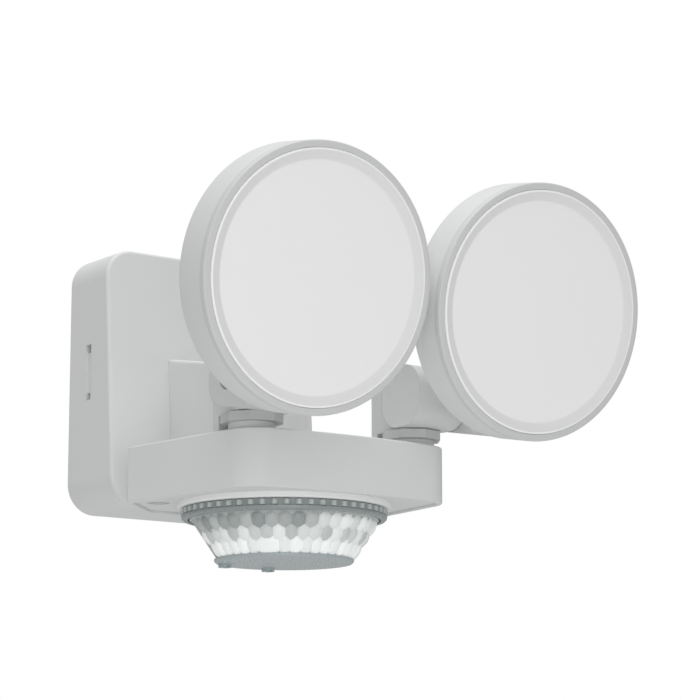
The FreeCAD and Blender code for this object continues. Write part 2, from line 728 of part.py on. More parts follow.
TILT_AXIS = ("-knuckle_reach", KNUCKLE_HEIGHT)
NUT_SEAT = "(barrel_split - barrel_wall)"
NUT_BACK = f"({NUT_SEAT} - bolt_nut_height)"
HEAD_SEAT = "(barrel_outer - bolt_head_height)"


def tilt_rod(name, sign, near, far, radius):
    """A cylinder on a knuckle's tilt axis."""
    low_x, length = span_x(sign, near, far)
    return rod(name, (low_x, *TILT_AXIS), radius, length, "x")


def tilt_hexagon(name, sign, near, far, across):
    low_x, length = span_x(sign, near, far)
    return prism(name, (low_x, *TILT_AXIS), across, length, "0", "x")


def make_bracket(side, sign):
    """The turning bracket: hollow stem, barrel, web and rear upright in one casting."""
    barrel = barrel_block(side + "_barrel", sign, "0", "barrel_inner", "barrel_split")
    hollow = barrel_block(side + "_barrel_hollow", sign, "barrel_wall",
                          "barrel_inner + barrel_wall", NUT_SEAT)
    axis = (f"{sign} * {SWIVEL_HALF}", "-swivel_reach")
    stem_low = f"({RETAINER_LOW} - stem_tail)"
    stem_top = f"({KNUCKLE_UNDER} + barrel_wall)"
    stem = rod(side + "_stem", (*axis, stem_low), "stem_radius", f"{stem_top} - {stem_low}")
    way = rod(side + "_stem_way", (*axis, f"{stem_low} - stem_tail"), "stem_bore",
              f"{stem_top} - {stem_low} + stem_tail + barrel_wall")
    low_x, wide = span_x(sign, "upright_inner", UPRIGHT_OUTER)
    post = box(side + "_upright_post", (low_x, f"-{UPRIGHT_FRONT}", UPRIGHT_FOOT),
               (wide, "upright_thickness", f"{UPRIGHT_TOP} - {UPRIGHT_FOOT}"))
    web = box(side + "_upright_web", (low_x, "-knuckle_reach", KNUCKLE_UNDER),
              (wide, f"knuckle_reach - {UPRIGHT_BACK} - edge_round",
               f"{UPRIGHT_TOP} - {KNUCKLE_UNDER}"))

    def top_rear(edge):
        spot = middle(edge)
        return abs(spot.z - number(UPRIGHT_TOP)) < 1e-3 and \
            abs(spot.y + number(UPRIGHT_BACK)) < 1e-3
    upright = rounded(side + "_upright", fuse(side + "_upright_blank", post, web),
                      "1.9 * edge_round", top_rear)
    bore = tilt_rod(side + "_tilt_bore", sign, f"{NUT_SEAT} - barrel_wall",
                    "barrel_split + barrel_wall", "bolt_radius + running_gap")
    solid = fuse(side + "_bracket_solid", barrel, stem, upright)
    node(cut(side + "_swivel_bracket", solid, hollow, way, bore))


def make_tilt_fasteners(side, sign):
    shank = tilt_rod(side + "_bolt_shank", sign, NUT_BACK, HEAD_SEAT, "bolt_radius")
    head = tilt_rod(side + "_bolt_head", sign, HEAD_SEAT, "barrel_outer", "bolt_head_radius")
    drive = tilt_hexagon(side + "_bolt_drive", sign, f"{HEAD_SEAT} + bolt_head_height / 2",
                         "barrel_outer + bolt_head_height", "bolt_head_radius")
    node(cut(side + "_tilt_bolt", fuse(side + "_bolt_blank", shank, head), drive))
    nut = tilt_hexagon(side + "_tilt_hex", sign, NUT_BACK, f"{NUT_SEAT} - seat_gap",
                       "bolt_nut_across")
    hole = tilt_rod(side + "_tilt_hex_bore", sign, NUT_BACK, NUT_SEAT, "bolt_radius")
    node(cut(side + "_tilt_nut", nut, hole))
    near, far = "barrel_split", "barrel_split + washer_thickness"
    disc = tilt_rod(side + "_washer_disc", sign, near, far, "washer_radius")
    eye = tilt_rod(side + "_washer_eye", sign, near, far, "bolt_radius")
    node(cut(side + "_tilt_washer", disc, eye))


# ---------------------------------------------------------------- lamp heads
# Head pieces are made about their own axis: X across, Y up the face, Z out of the face.

HEAD_ANGLE = "90 + head_tilt"
PIVOT_BACK = "((head_reach - knuckle_reach) * cos(head_tilt)" \
    f" + ({KNUCKLE_HEIGHT} - head_height) * sin(head_tilt))"
PIVOT_DOWN = "((head_reach - knuckle_reach) * sin(head_tilt)" \
    f" - ({KNUCKLE_HEIGHT} - head_height) * cos(head_tilt))"


ARM_NEAR = "(barrel_split + washer_thickness - head_half)"
ARM_FAR = "(barrel_outer - head_half)"
ARM_MIDDLE = f"(({ARM_NEAR} + {ARM_FAR}) / 2)"


def head_place(sign):
    return (f"{sign} * head_half", "-head_reach", "head_height")


def on_head(item, sign):
    lean(item, HEAD_ANGLE)
    return at(item, head_place(sign))


def make_head_shells(side, sign):
    place = head_place(sign)
    inside = "(head_radius - head_wall)"
    back = "-head_depth"
    shell = turned(side + "_head_shell", [
        ("0", back),
        ("head_radius - back_round", back),
        ("head_radius - 0.3 * back_round", f"{back} + 0.3 * back_round"),
        ("head_radius", f"{back} + back_round"),
        ("head_radius", "-bezel_depth"),
        (inside, "-bezel_depth"),
        (inside, f"{back} + head_back"),
        ("0", f"{back} + head_back"),
    ])
    screws = [rod(f"{side}_head_screw_hole_{end + 1}", (
        f"{sign} * {ARM_MIDDLE} + {end} * foot_width / 3", f"-{PIVOT_DOWN}", "-2 * head_depth"),
        "screw_radius", "2 * head_depth - head_back") for end in (-1, 1)]
    lead = rod(side + "_lead_hole", (
        f"{sign} * {ARM_MIDDLE}", f"-{PIVOT_DOWN} + arm_height", "-2 * head_depth"),
        "screw_radius", "2 * head_depth - head_back")
    node(on_head(cut(side + "_head_housing", shell, lead, *screws), sign))
    node(turned(side + "_bezel", [
        (BEZEL_INNER, "0"),
        ("head_radius - rim_round", "0"),
        ("head_radius - 0.3 * rim_round", "-0.3 * rim_round"),
        ("head_radius", "-rim_round"),
        ("head_radius", "-bezel_depth"),
        (BEZEL_INNER, "-bezel_depth"),
    ], place, HEAD_ANGLE))
    edge = DIFFUSER_EDGE
    node(turned(side + "_diffuser", [
        ("0", "-cover_lens_dish"),
        (f"{edge} - cover_lens_bead", "-cover_lens_dish"),
        (f"{edge} - cover_lens_proud", "cover_lens_proud"),
        (edge, "0"),
        (edge, "-cover_lens_dish - cover_lens_wall"),
        ("0", "-cover_lens_dish - cover_lens_wall"),
    ], place, HEAD_ANGLE))
    top = "(-cover_lens_dish - cover_lens_wall)"
    node(turned(side + "_lens_seal", [
        (f"{edge} - seal_width", top),
        (edge, top),
        (edge, f"{top} - seal_depth"),
        (f"{edge} - seal_width", f"{top} - seal_depth"),
    ], place, HEAD_ANGLE))


def make_head_lamps(side, sign):
    place = head_place(sign)
    floor = "(head_back - head_depth)"
    node(turned(side + "_heat_spreader", [
        ("0", floor),
        (LAMP_BOARD, floor),
        (LAMP_BOARD, f"{floor} + lamp_board_gap"),
        ("0", f"{floor} + lamp_board_gap"),
    ], place, HEAD_ANGLE))
    board = f"({floor} + lamp_board_gap)"
    node(turned(side + "_lamp_board", [
        ("0", board),
        (LAMP_BOARD, board),
        (LAMP_BOARD, f"{board} + board_thickness"),
        ("0", f"{board} + board_thickness"),
    ], place, HEAD_ANGLE))
    chips = []
    for ring, count in enumerate((1, 6, 12)):
        for index in range(count):
            turn = index * 360.0 / count
            across = f"{LAMP_BOARD} * {ring} / 2.6 * cos({turn}) - chip_size / 2"
            upward = f"{LAMP_BOARD} * {ring} / 2.6 * sin({turn}) - chip_size / 2"
            chips.append(box(f"{side}_chip_{ring}_{index}", (
                across, upward, f"{board} + board_thickness"),
                ("chip_size", "chip_size", "chip_height")))
    node(on_head(fuse(side + "_led_chips", *chips), sign))


def make_head_arm(side, sign):
    """The outer part of the barrel, with the arm and foot that carry the head."""
    low_x, wide = span_x(sign, ARM_NEAR, ARM_FAR)
    rear = f"-({PIVOT_BACK} + arm_height / 2)"
    plank = box(side + "_arm_plank", (low_x, f"-{PIVOT_DOWN} - arm_height / 2", rear),
                (wide, "arm_height", f"-({rear}) - head_depth"))

    def rear_corner(edge):
        return runs_along("x")(edge) and abs(middle(edge).z - number(rear)) < 1e-3
    arm = rounded(side + "_arm_blank", plank, "barrel_corner", rear_corner)
    mid = f"{sign} * {ARM_MIDDLE}"
    foot_slab = box(side + "_arm_foot_slab", (
        f"{mid} - foot_width / 2", f"-{PIVOT_DOWN} - foot_height / 2",
        "-(head_depth + foot_thickness)"), ("foot_width", "foot_height", "foot_thickness"))
    foot = rounded(side + "_arm_foot", foot_slab, "foot_thickness", runs_along("z"))
    seat_x, seat_wide = span_x(sign, f"{ARM_FAR} - bolt_head_height",
                               f"{ARM_FAR} + bolt_head_height")
    axis = (f"-{PIVOT_DOWN}", f"-{PIVOT_BACK}")
    seat = rod(side + "_bolt_seat", (seat_x, *axis), "bolt_head_radius + seat_gap", seat_wide, "x")
    bore = rod(side + "_arm_bore", (f"{low_x} - ({wide})", *axis), "bolt_radius",
               f"3 * ({wide})", "x")
    spots = [(f"{mid} + {end} * foot_width / 3", f"-{PIVOT_DOWN}") for end in (-1, 1)]
    holes = [rod(f"{side}_foot_hole_{count}", (*spot, "-2 * head_depth"),
                 "screw_radius", "head_depth") for count, spot in enumerate(spots)]
    solid = fuse(side + "_arm_solid", arm, foot)
    node(on_head(cut(side + "_head_arm", solid, bore, seat, *holes), sign))
    screws = [rod(f"{side}_arm_screw_{count}", (*spot, "-(head_depth + foot_thickness)"),
                  "screw_radius", "foot_thickness + head_back")
              for count, spot in enumerate(spots)]
    node(on_head(fuse(side + "_arm_screws", *screws), sign))


# ---------------------------------------------------------------- assembly

canopy = make_canopy()
make_back_plate()
make_latches()
make_wall_gasket()
make_terminal_block()
make_neck(canopy)
make_platform(canopy)
make_bottom_cover()
make_cover_screws()
make_sensor_shells()
make_sensor_cap()
make_dials()
make_sensor_electronics()
make_power_electronics()
for side_name, side_sign in (("left", -1), ("right", 1)):
    make_swivel(side_name, side_sign)
    make_bracket(side_name, side_sign)
    make_tilt_fasteners(side_name, side_sign)
    make_head_shells(side_name, side_sign)
    make_head_lamps(side_name, side_sign)
    make_head_arm(side_name, side_sign)
doc.recompute()

for item in doc.Objects:
    if "Invalid" in item.State or "Error" in item.State:
        raise RuntimeError(f"{item.Label}: {item.State}")
for item in NODES:
    if item.Shape.isNull() or not item.Shape.isValid():
        raise RuntimeError(f"{item.Label}: the shape is not sound")

os.makedirs("parts", exist_ok=True)
for item in NODES:
    item.Shape.exportStep(f"parts/{item.Label}.step")
    print(item.Label, len(item.Shape.Solids), round(item.Shape.Volume, 1))
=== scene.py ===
"""Looks of a twin-head wall security light with a downward motion sensor."""
import math

import bpy
from mathutils import Matrix, Vector


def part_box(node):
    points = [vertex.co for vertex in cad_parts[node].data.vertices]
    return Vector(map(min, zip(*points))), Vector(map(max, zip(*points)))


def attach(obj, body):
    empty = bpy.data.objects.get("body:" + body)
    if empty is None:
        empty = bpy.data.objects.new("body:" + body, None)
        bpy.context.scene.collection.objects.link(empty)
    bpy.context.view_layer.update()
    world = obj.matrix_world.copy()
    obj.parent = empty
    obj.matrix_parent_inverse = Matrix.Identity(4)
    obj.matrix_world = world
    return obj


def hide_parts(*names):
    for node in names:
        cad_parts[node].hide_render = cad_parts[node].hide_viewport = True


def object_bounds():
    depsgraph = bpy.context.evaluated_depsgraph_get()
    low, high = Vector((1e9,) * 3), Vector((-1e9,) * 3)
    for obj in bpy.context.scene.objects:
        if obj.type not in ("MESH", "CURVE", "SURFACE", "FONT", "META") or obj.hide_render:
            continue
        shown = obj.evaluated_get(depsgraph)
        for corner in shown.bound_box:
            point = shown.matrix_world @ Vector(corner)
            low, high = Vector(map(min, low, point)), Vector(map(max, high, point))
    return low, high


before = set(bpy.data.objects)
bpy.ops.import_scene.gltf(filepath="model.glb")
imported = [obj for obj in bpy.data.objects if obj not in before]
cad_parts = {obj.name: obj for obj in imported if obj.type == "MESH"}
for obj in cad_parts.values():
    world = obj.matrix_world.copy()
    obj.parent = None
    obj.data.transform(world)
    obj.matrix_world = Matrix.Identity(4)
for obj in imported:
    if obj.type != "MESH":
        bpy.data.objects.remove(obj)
cad_low, cad_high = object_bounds()

MM = 0.001
SEGMENTS = 256


# ---------------------------------------------------------------- small tools

def linear(code):
    """An sRGB hex colour as linear RGBA."""
    parts = [int(code[index:index + 2], 16) / 255 for index in (0, 2, 4)]
    return [part / 12.92 if part <= 0.04045 else ((part + 0.055) / 1.055) ** 2.4
            for part in parts] + [1.0]


def new_material(name):
    material = bpy.data.materials.new(name)
    material.use_nodes = True
    material.node_tree.nodes.clear()
    return material, material.node_tree


def add(tree, kind, settings=None, links=None, **inputs):
    """Adds one node: attributes, linked sockets and plain socket values."""
    made = tree.nodes.new(kind)
    for name, value in (settings or {}).items():
        setattr(made, name, value)
    for name, value in inputs.items():
        made.inputs[name.replace("_", " ")].default_value = value
    for name, source in (links or {}).items():
        tree.links.new(source, made.inputs[name])
    return made


def per_metre(millimetres):
    """Noise scale for a pattern that repeats about every so many millimetres."""
    return 1.0 / (millimetres * MM)


# ---------------------------------------------------------------- finishes

SKIN_IOR = 1.5        # moulded plastic and powder coat alike
EDGE_MM = 0.6         # how far a moulded or coated edge is softened
DRIFT_MM = 45         # length of the slow drift in tone over a wall
MOTTLE = 0.03         # how much the tone drifts
SHEEN_SPREAD = 0.05   # how much the grain varies the roughness


def coated(name, colour, roughness, grain_mm, bump_mm):
    """A light opaque skin: fine grain, a faint drift in tone, and softened edges."""
    material, tree = new_material(name)
    place = add(tree, "ShaderNodeTexCoord").outputs["Object"]
    drift = add(tree, "ShaderNodeTexNoise", {}, {"Vector": place},
                Scale=per_metre(DRIFT_MM), Detail=3.0, Roughness=0.55)
    tone = add(tree, "ShaderNodeMapRange", {}, {"Value": drift.outputs["Fac"]},
               To_Min=1 - MOTTLE, To_Max=1 + MOTTLE)
    base = add(tree, "ShaderNodeMix", {"data_type": "RGBA", "blend_type": "MULTIPLY"})
    base.inputs["Factor"].default_value = 1.0
    base.inputs[6].default_value = linear(colour)
    tree.links.new(tone.outputs["Result"], base.inputs[7])
    grain = add(tree, "ShaderNodeTexNoise", {}, {"Vector": place},
                Scale=per_metre(grain_mm), Detail=2.0, Roughness=0.6)
    worn = add(tree, "ShaderNodeMapRange", {}, {"Value": grain.outputs["Fac"]},
               To_Min=roughness - SHEEN_SPREAD, To_Max=roughness + SHEEN_SPREAD)
    edges = add(tree, "ShaderNodeBevel", {"samples": 6}, {}, Radius=EDGE_MM * MM)
    relief = add(tree, "ShaderNodeBump", {}, {"Height": grain.outputs["Fac"],
                                              "Normal": edges.outputs["Normal"]},
                 Strength=0.5, Distance=bump_mm * MM)
    shader = add(tree, "ShaderNodeBsdfPrincipled", {}, {
        "Base Color": base.outputs[2], "Roughness": worn.outputs["Result"],
        "Normal": relief.outputs["Normal"]}, IOR=SKIN_IOR)
    add(tree, "ShaderNodeOutputMaterial", {}, {"Surface": shader.outputs["BSDF"]})
    return material


# Moulded ABS with a spark-eroded texture: soft, even sheen.
moulded_abs = coated("moulded_white_abs", "E4E5E5", 0.55, 0.7, 0.02)
# The same plastic polished in the mould, painted whiter: painted light on the sensor flange.
polished_painted_light_abs = coated("polished_white_abs", "FBFCFB", 0.3, 1.5, 0.004)
# Powder coat on die-cast aluminium: faint orange peel.
powder_coat = coated("powder_coated_aluminium", "E4E5E5", 0.48, 1.1, 0.03)
# The same coat painted a shade greyer on the bezels, brackets and arms: painted shade.
painted_shade_coat = coated("powder_coated_brackets", "D9DADA", 0.5, 1.1, 0.03)
# The lock nuts' ABS, painted greyer: painted shade.
painted_shade_nut_abs = coated("moulded_nut_abs", "C9CACA", 0.5, 0.7, 0.02)
black_foam = coated("closed_cell_foam", "2B2B2C", 0.9, 0.8, 0.15)
grey_nylon = coated("glass_filled_nylon", "5A5D5F", 0.6, 0.6, 0.02)
solder_resist = coated("solder_resist_board", "1F5A35", 0.35, 1.2, 0.01)
silicone = coated("silicone_rubber", "C9CBCB", 0.6, 1.0, 0.01)
phosphor = coated("phosphor_chip", "F0E08A", 0.45, 0.5, 0.01)


def zinc_plate():
    """Zinc-plated steel: a bright grey metal with a cloudy spangle."""
    material, tree = new_material("zinc_plated_steel")
    place = add(tree, "ShaderNodeTexCoord").outputs["Object"]
    cloud = add(tree, "ShaderNodeTexNoise", {}, {"Vector": place},
                Scale=per_metre(3), Detail=4.0, Roughness=0.6)
    tone = add(tree, "ShaderNodeValToRGB", {}, {"Fac": cloud.outputs["Fac"]})
    tone.color_ramp.elements[0].color = linear("A9ABAD")
    tone.color_ramp.elements[1].color = linear("C9CBCD")
    polish = add(tree, "ShaderNodeMapRange", {}, {"Value": cloud.outputs["Fac"]},
                 To_Min=0.28, To_Max=0.42)
    shader = add(tree, "ShaderNodeBsdfPrincipled", {}, {
        "Base Color": tone.outputs["Color"], "Roughness": polish.outputs["Result"]}, Metallic=1.0)
    add(tree, "ShaderNodeOutputMaterial", {}, {"Surface": shader.outputs["BSDF"]})
    return material


def radial_opal(bead_radius, band_radius):
    """Opal polycarbonate: a painted highlight on its moulded bead, a darker band between the flat
    and the bead, and a faint painted glow.
    """
    material, tree = new_material("opal_polycarbonate_diffuser")
    place = add(tree, "ShaderNodeTexCoord").outputs["Object"]
    flat = add(tree, "ShaderNodeVectorMath", {"operation": "MULTIPLY"}, {0: place})
    flat.inputs[1].default_value = (1, 1, 0)
    reach = add(tree, "ShaderNodeVectorMath", {"operation": "LENGTH"}, {0: flat.outputs[0]})
    part = add(tree, "ShaderNodeMath", {"operation": "DIVIDE"}, {0: reach.outputs["Value"]})
    part.inputs[1].default_value = bead_radius
    ramp = add(tree, "ShaderNodeValToRGB", {}, {"Fac": part.outputs["Value"]})
    stops = ramp.color_ramp.elements
    edge = band_radius / bead_radius
    stops[0].position, stops[0].color = edge - 0.012, linear("F6F6F6")
    stops[1].position, stops[1].color = 1.0, linear("FCFCFC")
    # the last stops paint a highlight on the bead
    for spot, code in ((edge + 0.004, "E4E4E4"), (0.982, "E2E2E2"), (0.987, "FCFCFC")):
        stop = stops.new(spot)
        stop.color = linear(code)
    haze = add(tree, "ShaderNodeTexNoise", {}, {"Vector": place},
               Scale=per_metre(1.6), Detail=2.0)
    relief = add(tree, "ShaderNodeBump", {}, {"Height": haze.outputs["Fac"]},
                 Strength=0.3, Distance=0.006 * MM)
    gloss = add(tree, "ShaderNodeMapRange", {}, {"Value": haze.outputs["Fac"]},
                To_Min=0.36, To_Max=0.44)
    shader = add(tree, "ShaderNodeBsdfPrincipled", {}, {
        "Base Color": ramp.outputs["Color"], "Roughness": gloss.outputs["Result"],
        "Normal": relief.outputs["Normal"]}, IOR=1.58)
    # a faint painted glow over the whole lens
    shader.inputs["Emission Color"].default_value = linear("FFFFFF")
    shader.inputs["Emission Strength"].default_value = 0.07
    add(tree, "ShaderNodeOutputMaterial", {}, {"Surface": shader.outputs["BSDF"]})
    return material


PAINTED_GLOW_FALL = 3.0  # how fast the painted glow fades on darker facets


def milky(name, dark, light, clear, painted_glow):
    """Milky plastic, toned between two colours by each point's painted light and shade (its tone).
    clear is the share of light let through; the last argument is a painted glow, an emission that
    brightens the palest facets."""
    material, tree = new_material(name)
    place = add(tree, "ShaderNodeTexCoord").outputs["Object"]
    # tone carries each point's painted light and shade
    tone = add(tree, "ShaderNodeAttribute", {"attribute_name": "tone"})
    colour = add(tree, "ShaderNodeMix", {"data_type": "RGBA"}, {0: tone.outputs["Fac"]})
    colour.inputs[6].default_value = linear(dark)
    colour.inputs[7].default_value = linear(light)
    haze = add(tree, "ShaderNodeTexNoise", {}, {"Vector": place}, Scale=per_metre(0.9), Detail=2.0)
    relief = add(tree, "ShaderNodeBump", {}, {"Height": haze.outputs["Fac"]},
                 Strength=0.25, Distance=0.01 * MM)
    gloss = add(tree, "ShaderNodeMapRange", {}, {"Value": haze.outputs["Fac"]},
                To_Min=0.22, To_Max=0.34)
    shader = add(tree, "ShaderNodeBsdfPrincipled", {}, {
        "Base Color": colour.outputs[2], "Roughness": gloss.outputs["Result"],
        "Normal": relief.outputs["Normal"]}, IOR=1.51)
    lit = add(tree, "ShaderNodeMath", {"operation": "POWER"}, {0: tone.outputs["Fac"]})
    lit.inputs[1].default_value = PAINTED_GLOW_FALL
    painted_glow_share = add(tree, "ShaderNodeMath", {"operation": "MULTIPLY"}, {0: lit.outputs["Value"]})
    painted_glow_share.inputs[1].default_value = painted_glow
    tree.links.new(painted_glow_share.outputs["Value"], shader.inputs["Emission Strength"])
    shader.inputs["Emission Color"].default_value = linear("FFFFFF")
    through = add(tree, "ShaderNodeBsdfTranslucent", {}, {"Color": colour.outputs[2]})
    mix = add(tree, "ShaderNodeMixShader", {}, {1: shader.outputs["BSDF"],
                                               2: through.outputs["BSDF"]})
    mix.inputs[0].default_value = clear
    add(tree, "ShaderNodeOutputMaterial", {}, {"Surface": mix.outputs["Shader"]})
    return material


zinc = zinc_plate()
# The lens film: its dark and light colours are mixed by painted light and shade, and it carries a
# painted glow.
lens_film = milky("milky_polyethylene_lens", "8E9797", "FBFFFD", 0.1, 0.22)
# The grip ring: its light colour is a painted highlight on the rib tops.
ring_plastic = milky("grey_green_polypropylene", "8C9594", "C9D2D0", 0.0, 0.0)
cap_plastic = milky("grey_green_cap", "B2BCBE", "C8D2D2", 0.0, 0.0)


# ---------------------------------------------------------------- mesh makers

def mesh_piece(name, verts, faces, material, body, nodes, place=None, smooth=35):
    """A mesh object with its finish and body, hiding the CAD nodes it replaces; verts are in
    millimetres.
    """
    mesh = bpy.data.meshes.new(name)
    mesh.from_pydata([Vector(vert) * MM for vert in verts], [], faces)
    mesh.validate()
    piece = bpy.data.objects.new(name, mesh)
    bpy.context.collection.objects.link(piece)
    mesh.shade_smooth()
    mesh.set_sharp_from_angle(angle=math.radians(smooth))
    if place:
        piece.matrix_world = place
    mesh.materials.append(material)
    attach(piece, body)
    if nodes:
        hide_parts(*nodes)
    return piece


def rounded_profile(points, steps=5):
    """Corners given with a third number are rounded by that radius."""
    result = []
    count = len(points)
    for index, point in enumerate(points):
        here = Vector(point[:2])
        radius = point[2] if len(point) > 2 else 0
        if not radius:
            result.append(tuple(here))
            continue
        before = (Vector(points[index - 1][:2]) - here).normalized()
        after = (Vector(points[(index + 1) % count][:2]) - here).normalized()
        half = before.angle(after) / 2
        reach = radius / math.tan(half)
        centre = here + (before + after).normalized() * (radius / math.sin(half))
        start, end = here + before * reach - centre, here + after * reach - centre
        sweep = start.angle_signed(end)
        for step in range(steps + 1):
            turn = Matrix.Rotation(-sweep * step / steps, 2)
            result.append(tuple(centre + turn @ start))
    return result


def lathe(profile, segments=SEGMENTS):
    """Verts and faces of a closed profile (radius, height) turned about Z."""
    verts, faces, rings = [], [], []
    for radius, height in profile:
        if radius < 1e-6:
            rings.append([len(verts)])
            verts.append((0, 0, height))
            continue
        rings.append(list(range(len(verts), len(verts) + segments)))
        for index in range(segments):
            angle = 2 * math.pi * index / segments
            verts.append((radius * math.cos(angle), radius * math.sin(angle), height))
    for place, lower in enumerate(rings):
        upper = rings[(place + 1) % len(rings)]
        if len(lower) == 1 and len(upper) == 1:
            continue
        for index in range(segments):
            after = (index + 1) % segments
            if len(lower) == 1:
                faces.append((lower[0], upper[after], upper[index]))
            elif len(upper) == 1:
                faces.append((lower[index], lower[after], upper[0]))
            else:
                faces.append((lower[index], lower[after], upper[after], upper[index]))
    return verts, faces


# ---------------------------------------------------------------- lamp heads

HEAD_TILT = math.radians(10.5)
FACE_UP = Matrix.Rotation(math.pi / 2 + HEAD_TILT, 4, "X")
BEZEL_DEPTH = 3.0
HEAD_DEPTH = 21.0
HEAD_RADIUS = (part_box("left_bezel")[1].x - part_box("left_bezel")[0].x) / 2 / MM
LENS_RADIUS = (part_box("left_diffuser")[1].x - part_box("left_diffuser")[0].x) / 2 / MM
LENS_FLAT = 0.861 * HEAD_RADIUS
HEAD_WALL = 2.4


def head_frame(side):
    """Where a head's rim centre is and which way its face looks (local +Z)."""
    low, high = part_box(side + "_bezel")
    outward = Vector((0, -math.cos(HEAD_TILT), -math.sin(HEAD_TILT)))
    centre = (low + high) / 2 + outward * (BEZEL_DEPTH / 2 * MM)
    return Matrix.Translation(centre) @ FACE_UP


diffuser_finish = radial_opal(LENS_RADIUS * MM, LENS_FLAT * MM)


def make_head(side):
    place, body = head_frame(side), side + "_head"
    inside = HEAD_RADIUS - HEAD_WALL
    back, floor = -HEAD_DEPTH, 3.0 - HEAD_DEPTH
    shell = rounded_profile([
        (0, back), (HEAD_RADIUS - 8, back, 0.4), (HEAD_RADIUS - 7.4, back + 0.5, 0.4),
        (HEAD_RADIUS, back + 0.5, 3.2), (HEAD_RADIUS, -BEZEL_DEPTH), (inside, -BEZEL_DEPTH),
        (inside, floor), (0, floor),
    ])
    verts, faces = lathe(shell)
    mesh_piece(side + "_housing", verts, faces, powder_coat, body,
               [side + "_head_housing"], place)
    ring = rounded_profile([
        (LENS_RADIUS + 0.15, 0, 0.25), (HEAD_RADIUS, 0, 0.7), (HEAD_RADIUS, -BEZEL_DEPTH),
        (LENS_RADIUS + 0.15, -BEZEL_DEPTH),
    ])
    verts, faces = lathe(ring)
    mesh_piece(side + "_front_ring", verts, faces, painted_shade_coat, body,
               [side + "_bezel"], place)
    dish = rounded_profile([
        (0, -1.0), (LENS_FLAT, -1.0, 1.0), (LENS_RADIUS - 0.8, 0.4, 0.25),
        (LENS_RADIUS, 0.4, 0.35), (LENS_RADIUS, -3.0), (0, -3.0),
    ], 6)
    verts, faces = lathe(dish)
    mesh_piece(side + "_opal_lens", verts, faces, diffuser_finish, body,
               [side + "_diffuser"], place)


for side in ("left", "right"):
    make_head(side)


# ---------------------------------------------------------------- motion sensor

SENSOR = Matrix.Translation(Vector((
    0, (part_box("sensor_cap")[0].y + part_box("sensor_cap")[1].y) / 2, 0)))
RIB_COUNT = 54
FACETS_ROUND = 42
FACET_LIMIT = math.radians(108)
# Each row: how far down the cone, shift in pitches, height against the usual one.
FACET_ROWS = ((0.20, 0.0, 1.0), (0.50, 0.5, 1.0), (0.82, 0.0, 1.25))
TWIN_FACET = -6                      # the low row's one facet of double width
FACET_HALF = 0.168                   # half a facet's height, as a share of the cone
SHADED_SIDE = math.radians(-16)      # the upper row is painted dark before this bearing: painted shade and reflection
BUMP, BUMP_FALL = 1.9, 0.72          # how far a facet stands out, how fast it falls off
SUNK, FILM_WALL = 1.2, 1.1
PLAIN_TONE = 0.4                     # between and beyond the facets
STEPS_PER_FACET, LEVELS_DOWN, EDGE_LEVELS = 14, 48, 1.5
FLANGE_BORE = 36.6
RING_WALL = 3.2
STEPS_PER_RIB = 10
FRONT = -math.pi / 2


def heights(node):
    low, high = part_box(node)
    return low.z / MM, high.z / MM


def half_width(node):
    low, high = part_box(node)
    return (high.x - low.x) / 2 / MM


# Stores each point's painted light and shade as the tone attribute.
def set_painted_tone(piece, painted_tones):
    layer = piece.data.attributes.new("tone", "FLOAT", "POINT")
    for item, value in zip(layer.data, painted_tones):
        item.value = value


def make_flange():
    low, high = heights("sensor_flange")
    wide = half_width("sensor_flange")
    verts, faces = lathe(rounded_profile([
        (FLANGE_BORE, high), (wide, high), (wide, low, 0.9), (FLANGE_BORE, low)]))
    mesh_piece("flange", verts, faces, polished_painted_light_abs, "root",
               ["sensor_flange"], SENSOR)


def make_ring():
    """The grip ring: upright ribs above a plain lower band."""
    low, high = heights("sensor_ring")
    wide = half_width("sensor_ring")
    inner = wide - RING_WALL
    count = RIB_COUNT * STEPS_PER_RIB
    levels = [  # height, radius between ribs, how far a rib stands out
        (high - 0.1, wide - 1.2, 0.0), (high - 0.4, wide - 1.0, 0.0),
        (high - 0.7, wide - 1.0, 1.0), (high - 2.8, wide - 1.0, 1.0),
        (high - 3.1, wide - 1.0, 0.0), (high - 3.3, wide - 0.3, 0.0),
        (low + 0.9, wide - 0.5, 0.0), (low + 0.2, wide - 1.2, 0.0),
        (low, inner + 0.6, 0.0), (low + 0.2, inner, 0.0), (high - 0.1, inner, 0.0),
    ]
    verts, painted_tones = [], []
    for height, radius, stand in levels:
        for index in range(count):
            phase = (index % STEPS_PER_RIB) / STEPS_PER_RIB
            rise = min(1.0, max(0.0, 2.4 - abs(phase - 0.5) * 9))
            reach = radius + stand * rise
            angle = 2 * math.pi * index / count
            verts.append((reach * math.cos(angle), reach * math.sin(angle), height))
            # rib tops painted lighter: a painted highlight
            painted_tones.append(0.15 + 0.75 * rise * stand)
    faces = []
    for level in range(len(levels)):
        below = (level + 1) % len(levels)
        for index in range(count):
            after = (index + 1) % count
            faces.append((level * count + after, level * count + index,
                          below * count + index, below * count + after))
    piece = mesh_piece("grip_ring", verts, faces, ring_plastic, "sensor_ring",
                       ["sensor_ring"], SENSOR, 30)
    set_painted_tone(piece, painted_tones)


def painted_facet_light(row, bearing, index):
    """How light a facet is painted: painted shade on one side of the upper row, palest on the low
    row, with a painted reflection varying from facet to facet.
    """
    wave = 0.5 + 0.5 * math.sin(index * 2.399 + row * 1.3)
    if row == 0:
        return 0.2 + 0.3 * wave if bearing < SHADED_SIDE else 0.75 + 0.2 * wave
    if row == 1:
        return 0.55 + 0.35 * wave
    return 0.9 + 0.1 * wave


